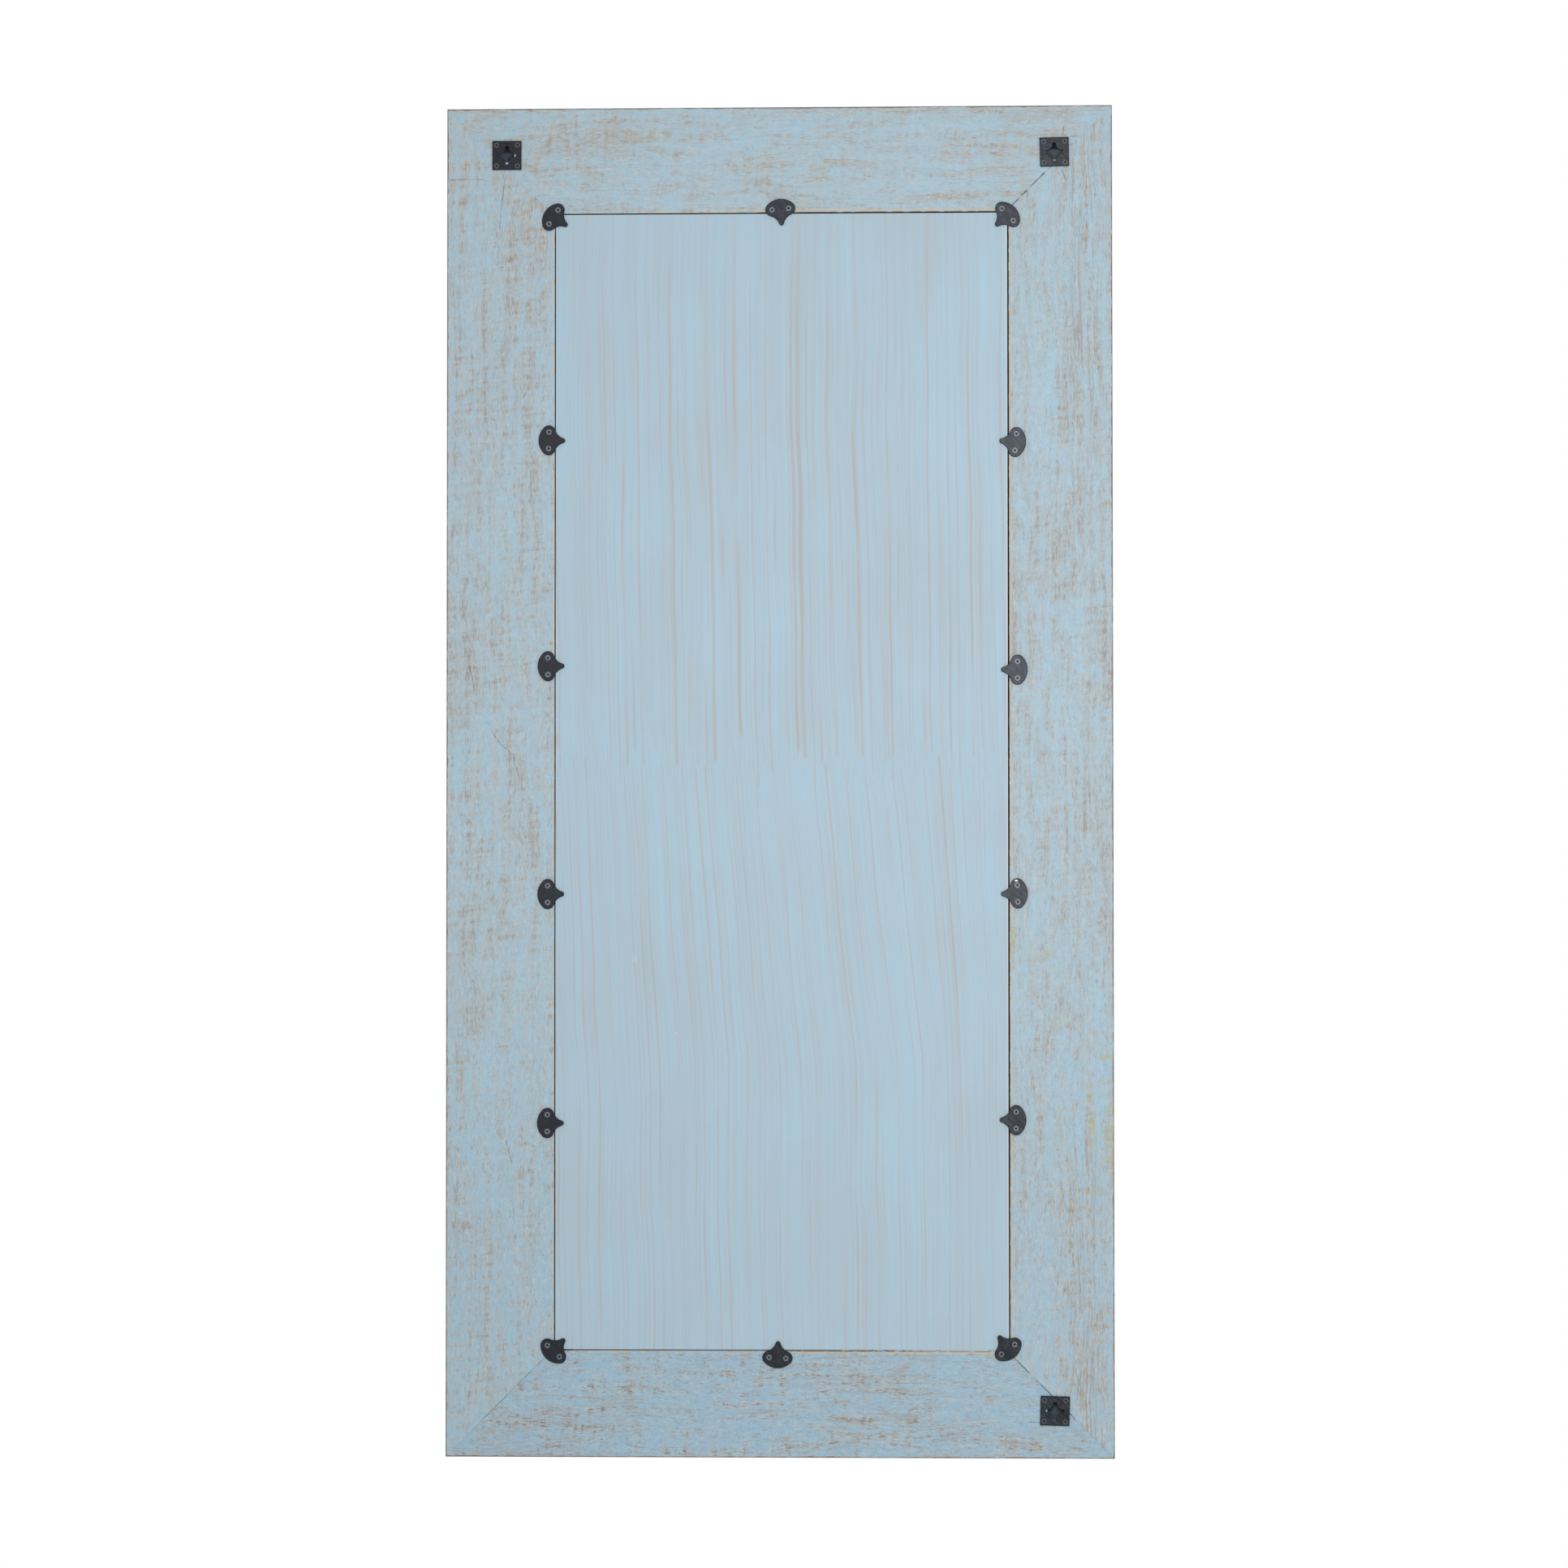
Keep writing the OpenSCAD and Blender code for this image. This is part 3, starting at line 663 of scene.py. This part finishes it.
def bare_inside(board, colour):
    """Dark wood inside the rebate, the pockets and the holes, partly painted shade, with painted shade
    at the top of each pocket.
    """
    tree, y, z = board.tree, board.y, board.z
    inside = under_back(tree, y, *INSIDE_DEPTHS) * tree.rise(y, GLASS_Y - 0.6, GLASS_Y - 0.1)
    inside = inside * tree.rise(board.from_rim, 1.0, 2.0)
    # Painted shade: each pocket darkens towards its top, under the plate
    plate_z = tree.shade(LOW_PLATE_Z, TOP_PLATE_Z, tree.rise(z, *PAST_MIDDLE))
    over_plate = z - plate_z + (board.grain.fibre - 0.5) * 4.0
    pocket = tree.blend(POCKET_GREY, POCKET_PAINTED_SHADE, tree.rise(over_plate, *POCKET_SHADE_Z))
    brown = tree.most(tree.rise(z, *BROWN_GAP_Z), 1.0 - board.right)
    # The gap's inside: dark wood that is partly painted shade
    gap = tree.blend(GAP_WOOD_AND_SHADE, GAP_BROWN, brown)
    bare = tree.blend(gap, pocket, tree.rise(board.from_gap, *POCKET_FROM_GAP))
    return tree.blend(colour, bare, inside)


def board_paint(name, shares):
    """Light blue paint over wood, worn through along the grain, across its figure and at the edges."""
    tree = Tree(name)
    board = Board(tree, shares)
    colour = worn_coat(board)
    for wear in (side_runs, edge_wear, gap_wear, front_wear):
        colour = wear(board, colour)
    colour, cuts = back_marks(board, colour)
    colour = bare_inside(board, colour)

    grain = board.grain
    height = grain.fibre * 0.4 + grain.strand * 0.2 + grain.figure * 0.25 - board.tan * 0.3 - cuts * 1.5
    rough = tree.shade(0.5, 0.74, board.greyed)
    return tree.finish({"Base Color": colour, "Roughness": rough, "Specular IOR Level": PAINT_GLOSS,
                        "Normal": tree.bump(height, 0.35, 0.5)})


# Painted panel

# Where the two passes of the brush meet, and how wide and long the teeth of that seam are
SEAM_Z = 15.0
TOOTH_WIDTH = 9.0
TOOTH_LENGTH = 160.0
# How far the brush swayed from side to side, and how long and wide its sways are
BRUSH_SWAY = 14.0
BRUSH_SWAY_SIZE = (260.0, 150.0)
# The lower pass leans, and fans out down to this depth under the middle
LOWER_LEAN = -0.015
FAN_DEPTH = 380.0
# The fan's lean at the middle, and how much that grows for each millimetre to the right
FAN_LEAN = 0.07
FAN_SPREAD = 0.00016
# At the right the fan fades between these places
FAN_U = (330.0, 150.0)
# The upper pass leans below this height, and is shifted so that its streaks differ from the lower ones
UPPER_LEAN = 0.022
UPPER_LEAN_Z = 480.0
UPPER_SHIFT = 1300.0
# Length of the stretches in which a streak fades in and out
STREAK_LENGTH = 230.0
# How far the ends of streaks differ from place to place, and between wide and thin ones
END_RAGGED = 150.0
END_BY_GIRTH = 34.0
# Brush marks, across and down: bands, strokes and hairs of the brush, and blotches of paint
BAND_SIZE = (26.0, 800.0)
STROKE_SIZE = (5.2, 420.0)
HAIR_SIZE = (1.3, 150.0)
BLOTCH_SIZE = (130.0, 180.0)
# Streaks are weak above the first height and strong below the second
WEAK_STREAKS_Z = (760.0, 520.0)
# A painted highlight along the panel's edge at the wider gap: how far from its edge that begins and
# where it is full
HIGHLIGHT_EDGE = (2.4, 0.8)
# Depths under the back at which the panel's bare sides begin and are full
PANEL_SIDES = (0.2, 0.6)


def streaks(tree, u, z, above, pitch, seed, width, end):
    """Thin streaks that stop near z = end, each with its own place, width and strength."""
    cell = tree.maths("FLOOR", u / pitch)
    chance = tree.node("TexWhiteNoise", {"W": cell + seed}, noise_dimensions="1D")
    parts = tree.node("SeparateColor")
    tree.links.new(chance.outputs["Color"], parts.inputs[0])
    place, girth, strength = [Num(tree, out) for out in parts.outputs]
    middle = (cell + 0.25 + place * 0.5) * pitch
    half = (0.25 + girth * girth) * width
    line = tree.rise(half - abs(u - middle), -1.1, 0.6)
    fade = tree.noise(cell * 3.7, z / STREAK_LENGTH, seed)
    shown = tree.rise(fade + (strength - 0.5) * 0.45, 0.40, 0.72)
    ragged = (tree.noise(cell * 0.31, seed, 2.0, 1.0) - 0.5) * END_RAGGED
    stop = end + ragged + (girth - 0.5) * END_BY_GIRTH
    past = (z - stop) if above else (stop - z)
    strong_end = tree.rise(past, 70.0, 4.0) * strength
    force = tree.rise(z, *WEAK_STREAKS_Z) * 0.6 + 0.4
    return line * tree.most(shown, strong_end) * tree.rise(past, -4.0, 5.0) * force


def brush_passes(tree, u, z):
    """How far across the brush a point lies in the lower and in the upper pass. u runs to the right."""
    sway = (tree.flat_noise(z, u, BRUSH_SWAY_SIZE, 6.0, 1.0) - 0.5) * BRUSH_SWAY
    fan = (FAN_LEAN + u * FAN_SPREAD) * tree.rise(u, *FAN_U)
    low = u - sway - (z * LOWER_LEAN + tree.least(z * -1.0, FAN_DEPTH) * fan)
    high = u - sway - tree.most(UPPER_LEAN_Z - z, 0.0) * UPPER_LEAN + UPPER_SHIFT
    return low, high


def panel_streaks(tree, low, high, z):
    """Strong and fine streaks of both passes, where the wood shows through."""
    under = tree.most(streaks(tree, low, z, False, pitch=13.5, seed=11.0, width=0.9, end=15.0),
                      streaks(tree, low, z, False, pitch=6.1, seed=37.0, width=0.5, end=25.0) * 0.6)
    over = tree.most(streaks(tree, high, z, True, pitch=11.0, seed=53.0, width=1.9, end=22.0),
                     streaks(tree, high, z, True, pitch=5.3, seed=71.0, width=0.7, end=14.0) * 0.6)
    return tree.most(under, over)


def panel_marks(tree, x, y, z, colour):
    """A painted highlight along the panel's edge, a stain, drips of paint, and the sides inside the gap
    in dark wood colour with painted shade.
    """
    start, full = HIGHLIGHT_EDGE
    # Painted highlight along the panel's edge at the wider gap
    rim = tree.rise(x, PANEL_LOW.x + start, PANEL_LOW.x + full)
    marks = Marks(tree, x, z)
    colour = tree.blend(colour, PANEL_HIGHLIGHT, rim * 0.7)
    colour = tree.blend(colour, PANEL_STAIN, marks.stains(PANEL_STAINS) * 0.8)
    colour = tree.blend(colour, PAINT_PALE, marks.stains(PALE_SPOTS) * 0.7)
    # The panel's sides inside the gap: brown, and at the right dark wood with painted shade
    side = tree.blend(GAP_BROWN, GAP_WOOD_AND_SHADE, tree.rise(x, *RIGHT_X))
    return tree.blend(colour, side, under_back(tree, y, *PANEL_SIDES))


def panel_paint(name):
    """Thin blue paint on the panel, drawn down in two passes of a wide brush that meet half way."""
    tree = Tree(name)
    x, y, z = tree.place()
    u = x * -1.0
    low, high = brush_passes(tree, u, z)
    tan = panel_streaks(tree, low, high, z)
    tooth = (tree.noise(u / TOOTH_WIDTH, 3.0, 0.0, 1.0) - 0.5) * TOOTH_LENGTH
    upper = tree.rise(z + tooth, 0.0, 30.0)
    drawn = tree.shade(low, high, upper)
    band = tree.flat_noise(drawn, z, BAND_SIZE, 1.0)
    stroke = tree.flat_noise(drawn, z, STROKE_SIZE, 3.0, 1.0)
    hair = tree.flat_noise(drawn, z, HAIR_SIZE, 5.0, 2.0, 0.6)
    blotch = tree.flat_noise(u, z, BLOTCH_SIZE, 14.0)

    tone = (band - 0.5) * 0.8 + (stroke - 0.5) * 0.8 + (hair - 0.5) * 0.9 + (blotch - 0.5) * 0.9
    greyed = tree.rise(tone, -0.65, 0.75)
    seam_paint = tree.rise(abs(z - SEAM_Z), 65.0, 10.0) * tree.rise(stroke, 0.4, 0.6) * 0.5
    colour = tree.blend(PANEL_PAINT, PANEL_GREYED, greyed * (1.0 - seam_paint))
    colour = tree.blend(colour, PANEL_TAN, tan * 0.72 * (0.6 + greyed * 0.4))
    colour = panel_marks(tree, x, y, z, colour)
    height = stroke * 0.4 + hair * 0.5 - tan * 0.3
    rough = tree.shade(0.46, 0.66, greyed)
    return tree.finish({"Base Color": colour, "Roughness": rough, "Specular IOR Level": PAINT_GLOSS,
                        "Normal": tree.bump(height, 0.12, 0.4)})


# Paint that fills the gap under the panel

# Its ends, their depths under the back, and its thickness
SKIN_ENDS = (-292.0, 280.0)
SKIN_DEPTHS = (0.35, 1.5)
SKIN_THICK = 0.8
# Between these places it breaks up, into crumbs so long and high
SKIN_BROKEN_X = (-230.0, 60.0)
CRUMB_LENGTH = 9.0
CRUMB_HEIGHT = 4.0


def skin_paint(name):
    """Old paint in the gap, broken and darker in places."""
    tree = Tree(name)
    x, y, z = tree.place()
    broken = tree.noise(x / CRUMB_LENGTH, 2.0, z / CRUMB_HEIGHT, 3.0, 0.6)
    share = tree.rise(x, *SKIN_BROKEN_X) * 0.35
    colour = tree.blend(PANEL_GREYED, CRACK_DARK, tree.rise(broken + share, 0.48, 0.72) * 0.9)
    return tree.finish({"Base Color": colour, "Roughness": 0.7, "Normal": tree.bump(broken, 0.1)})


# Metal

# Grains of the coating, clouds in its gloss, and how far its rims are looked for
SPECK_SIZE = 0.9
CLOUD_SIZE = 9.0
RIM_WIDTH = 1.6
# Smears, with their length, depth and width. The photograph's right has more of them, which there also
# stand as a painted sheen
SMEAR_SIZE = (21.0, 5.0, 8.0)
SMEARS_AND_SHEEN_X = (300.0, -300.0)
# Scratches and clouds of the screws, and the depths at which their recess darkens as painted shade
SCRATCH_SIZE = 0.5
SCRATCH_WIDTH = 0.18
SCREW_CLOUD_SIZE = 2.5
RECESS_SHADE_Y = (-0.15, -0.6)


def black_metal(name):
    """Satin black coating with faint smears, at the right also a painted sheen, and a painted dark
    reflection on its rims.
    """
    tree = Tree(name)
    x, y, z = tree.place()
    speck = tree.round_noise(x, y, z, SPECK_SIZE, 2.0, 0.6)
    cloud = tree.round_noise(x, y, z, CLOUD_SIZE, 3.0)
    length, depth, width = SMEAR_SIZE
    smear = tree.noise((x + z) / length, y / depth, (x - z) / width, 3.0, 0.55, 0.8)
    # Real smears, made stronger at the photograph's right as a painted sheen
    smears_and_sheen = tree.rise(smear, 0.42, 0.66) * (0.08 + tree.rise(x, *SMEARS_AND_SHEEN_X) * 0.45)
    rim = tree.rise(tree.hollows(RIM_WIDTH, inside=True), 0.10, 0.34)
    fleck = Marks(tree, x, z).stains(FLECKS)
    colour = tree.blend(METAL_BLACK, METAL_RUBBED, tree.rise(speck, 0.62, 0.8) * 0.15 + smears_and_sheen)
    # Painted dark reflection on the rims
    colour = tree.blend(colour, METAL_DARK_REFLECTION, rim)
    colour = tree.blend(colour, FLECK_WHITE, tree.rise(fleck, 0.2, 0.7))
    rough = tree.shade(0.30, 0.44, cloud) + rim * 0.3
    return tree.finish({"Base Color": colour, "Roughness": rough, "Specular IOR Level": 0.3,
                        "Specular Tint": METAL_SHEEN, "Normal": tree.bump(speck, 0.02)})


def screw_steel(name, flat):
    """Blackened steel of the screw heads, worn to grey on the flat, with painted shade in the recess.
    """
    tree = Tree(name)
    x, y, z = tree.place()
    scratch = tree.noise(x / SCRATCH_SIZE, y / SCRATCH_SIZE, z / SCRATCH_WIDTH, 3.0, 0.7)
    cloud = tree.round_noise(x, y, z, SCREW_CLOUD_SIZE)
    colour = tree.blend(flat, METAL_RUBBED, tree.rise(cloud + (scratch - 0.5) * 0.5, 0.35, 0.7))
    # Painted shade in the recess
    colour = tree.blend(colour, METAL_BLACK, tree.rise(y, *RECESS_SHADE_Y))
    rough = tree.shade(0.36, 0.55, scratch)
    return tree.finish({"Base Color": colour, "Metallic": 0.35, "Roughness": rough,
                        "Normal": tree.bump(scratch, 0.02)})


# Glass and the hidden pieces

# Clouds and specks of the silver, and the distances from the sight edge at which it dulls
SILVER_CLOUD = (60.0, 60.0)
SILVER_SPECK = (2.2, 2.2)
DULL_EDGE = (9.0, -2.0)
# How far the clouds move that edge
DULL_SWAY = 24.0
# Length and girth of the dowels' grain, and the tufts of the felt
DOWEL_GRAIN = (30.0, 1.5)
FLUFF_SIZE = 1.1


def silvered_glass(name):
    """Mirror: bright silver, with faint clouding and a few dull specks near the edge."""
    tree = Tree(name)
    x, y, z = tree.place()
    edge = tree.least(SIGHT_HALF_W - abs(x), SIGHT_HALF_H - abs(z))
    cloud = tree.flat_noise(x, z, SILVER_CLOUD, 1.0, 3.0)
    speck = tree.flat_noise(x, z, SILVER_SPECK, 3.0, 2.0, 0.7)
    dull = tree.rise(edge + (cloud - 0.5) * DULL_SWAY, *DULL_EDGE) * tree.rise(speck, 0.50, 0.66)
    side = tree.rise(y, GLASS_Y + 0.2, GLASS_Y + 0.5)
    colour = tree.blend(SILVER, SILVER_DULL, dull * 0.6)
    colour = tree.blend(colour, GLASS_EDGE, side)
    rough = tree.shade(0.012, 0.05, tree.rise(cloud, 0.45, 0.7)) + dull * 0.25
    return tree.finish({"Base Color": colour, "Metallic": 1.0, "Roughness": rough})


def bare_wood(name):
    """Turned dowels, which only show when the frame is taken apart."""
    tree = Tree(name)
    x, y, z = tree.place()
    length, girth = DOWEL_GRAIN
    ring = tree.noise((x + z) / length, (x - z) / girth, y / girth, 3.0, 0.6)
    colour = tree.blend(DOWEL_WOOD, WORN_BROWN, tree.rise(ring, 0.45, 0.75) * 0.5)
    return tree.finish({"Base Color": colour, "Roughness": 0.6, "Normal": tree.bump(ring, 0.1)})


def felt(name):
    """Soft pad between glass and panel."""
    tree = Tree(name)
    x, y, z = tree.place()
    fluff = tree.round_noise(x, y, z, FLUFF_SIZE, 3.0, 0.7)
    colour = tree.blend(FELT_WHITE, FELT_GREY, tree.rise(fluff, 0.4, 0.7) * 0.5)
    return tree.finish({"Base Color": colour, "Roughness": 0.95, "Normal": tree.bump(fluff, 0.4)})


# Finishes of the nodes

# Edges of the punched metal and of the panel are rounded by so many millimetres
PANEL_ROUND = 0.6
CLIP_ROUND = 0.35
PLATE_ROUND = 0.3
# Edges flatter than this many degrees stay as they are
ROUND_FROM = 40
ROUND_STEPS = 2


def dress(node, material, edge):
    """Gives a CAD node one material all over, and edges rounded by so many millimetres."""
    part = frame["nodes"][node]
    part.data.materials.clear()
    part.data.materials.append(material)
    if edge:
        rounding = part.modifiers.new("rounding", "BEVEL")
        rounding.width = edge * MM
        rounding.segments = ROUND_STEPS
        rounding.limit_method = "ANGLE"
        rounding.angle_limit = math.radians(ROUND_FROM)


def dress_all():
    """Dresses each node by the first of these words that its name starts or ends with."""
    looks = {
        "rail": (board_paint("paint_level", RAILS), 0.0),
        "stile": (board_paint("paint_upright", STILES), 0.0),
        "back_panel": (panel_paint("paint_panel"), PANEL_ROUND),
        "dowels": (bare_wood("dowel_wood"), 0.0),
        "mirror_glass": (silvered_glass("silvered_glass"), 0.0),
        "backing_pad": (felt("felt"), 0.0),
        "clip": (black_metal("black_clip"), CLIP_ROUND),
        "hanger_screws": (screw_steel("plate_screws", SCREW_DARK), 0.0),
        "hanger": (black_metal("black_plate"), PLATE_ROUND),
        "screws": (screw_steel("clip_screws", SCREW_GREY), 0.0),
    }
    for part in frame["record"]["subparts"]:
        node = part["node"]
        kind = next(kind for kind in looks if node.startswith(kind) or node.endswith(kind))
        dress(node, *looks[kind])


# New objects

def add(name, data):
    """A new object in the scene."""
    made = bpy.data.objects.new(name, data)
    bpy.context.scene.collection.objects.link(made)
    return made


def add_mesh(name, shape, material):
    """A new object with a shape that bmesh built, in one material."""
    mesh = bpy.data.meshes.new(name)
    shape.to_mesh(mesh)
    shape.free()
    mesh.materials.append(material)
    return add(name, mesh)


def fill_low_gap():
    """A thin strip of paint between the bottom rail and the panel, which sinks towards one end."""
    shape = bmesh.new()
    bmesh.ops.create_cube(shape, size=1.0)
    for corner in shape.verts:
        end, outer, upper = [int(c > 0) for c in corner.co]
        y = BACK_Y - SKIN_DEPTHS[end] - SKIN_THICK * (1 - outer)
        z = PANEL_LOW.z - GAP * (1 - upper)
        corner.co = (SKIN_ENDS[end] * MM, y * MM, z * MM)
    piece = add_mesh("gap_paint", shape, skin_paint("paint_skin"))
    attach(piece, "root")


# Light, floor and camera

# Light from all round, as a share of white
WORLD_SHARE = 0.52
# The round floor, in metres: how far under the mirror, and how far it reaches
FLOOR_DROP = 0.335
FLOOR_REACH = 2.4
FLOOR_SIDES = 96
# Shares of its reach between which the floor fades to white, and its grain in millimetres
FLOOR_FADE = (0.3, 0.6)
FLOOR_GRAIN = (3.0, 3.0)
# Softboxes: place and aim in metres, width and height, and power in watts
BACK_LIGHT = ((-0.36, 2.4, 0.35), (-0.36, 0.0, 0.35), (0.72, 1.36), 29.4)
FRONT_LIGHT = ((-1.7, -2.0, 1.1), (0.0, 0.0, 0.1), (0.9, 0.9), 45.0)


def make_world():
    """Even white light from all round, and plain white where the camera or a reflection sees it."""
    tree = Tree("studio", "worlds")
    strength = tree.shade(WORLD_SHARE, 1.0, tree.looked_at())
    background = tree.node("Background", {"Color": WHITE, "Strength": strength})
    bpy.context.scene.world = tree.output(background, "OutputWorld")


def softbox(name, place, aim, size, power):
    """A lamp with a rectangular face that looks at its aim."""
    data = bpy.data.lights.new(name, "AREA")
    data.shape = "RECTANGLE"
    data.size, data.size_y = size
    data.energy = power
    lamp = add(name, data)
    lamp.location = place
    lamp.rotation_mode = "QUATERNION"
    lamp.rotation_quaternion = (Vector(aim) - Vector(place)).to_track_quat("-Z", "Y")


def make_lamps():
    """A tall softbox behind the mirror, at the photograph's right, and a raking one in front."""
    softbox("back_light", *BACK_LIGHT)
    softbox("front_light", *FRONT_LIGHT)


def floor_paint(name):
    """A pale face that keeps the shadow and, where it is looked at, fades to white outwards."""
    tree = Tree(name)
    x, y, z = tree.place()
    far = tree.maths("SQRT", x * x + y * y) / (FLOOR_REACH / MM)
    plain = tree.rise(far, *FLOOR_FADE) * tree.looked_at()
    colour = tree.blend(FLOOR_PALE, FLOOR_GREYER, tree.flat_noise(x, y, FLOOR_GRAIN, 0.0))
    diffuse = tree.node("BsdfDiffuse", {"Color": colour})
    white = tree.node("Emission", {"Color": WHITE, "Strength": 1.0})
    mix = tree.node("MixShader", {0: plain})
    tree.links.new(diffuse.outputs[0], mix.inputs[1])
    tree.links.new(white.outputs[0], mix.inputs[2])
    return tree.output(mix)


def make_floor():
    """A round floor a little below the hanging mirror."""
    shape = bmesh.new()
    bmesh.ops.create_circle(shape, cap_ends=True, radius=FLOOR_REACH, segments=FLOOR_SIDES)
    floor = add_mesh("floor", shape, floor_paint("floor"))
    floor.location = (0.0, 0.0, CAD_LOW.z - FLOOR_DROP)


def make_camera():
    """The photograph's view of the back: picture right is the part's -x."""
    data = bpy.data.cameras.new("camera")
    data.sensor_width = SENSOR_MM
    data.lens = SENSOR_MM * FOCAL_PX / PHOTO_SIZE
    data.clip_end = CLIP_END
    camera = add("camera", data)
    square_on = Matrix(((-1.0, 0.0, 0.0), (0.0, 0.0, 1.0), (0.0, 1.0, 0.0)))
    turn = Euler([math.radians(a) for a in CAMERA_TURN], "XYZ").to_matrix()
    camera.matrix_world = Matrix.Translation(CAMERA_PLACE) @ (square_on @ turn).to_4x4()
    bpy.context.scene.camera = camera


make_camera()
dress_all()
fill_low_gap()
make_world()
make_lamps()
make_floor()
bpy.context.scene.view_settings.view_transform = "Standard"
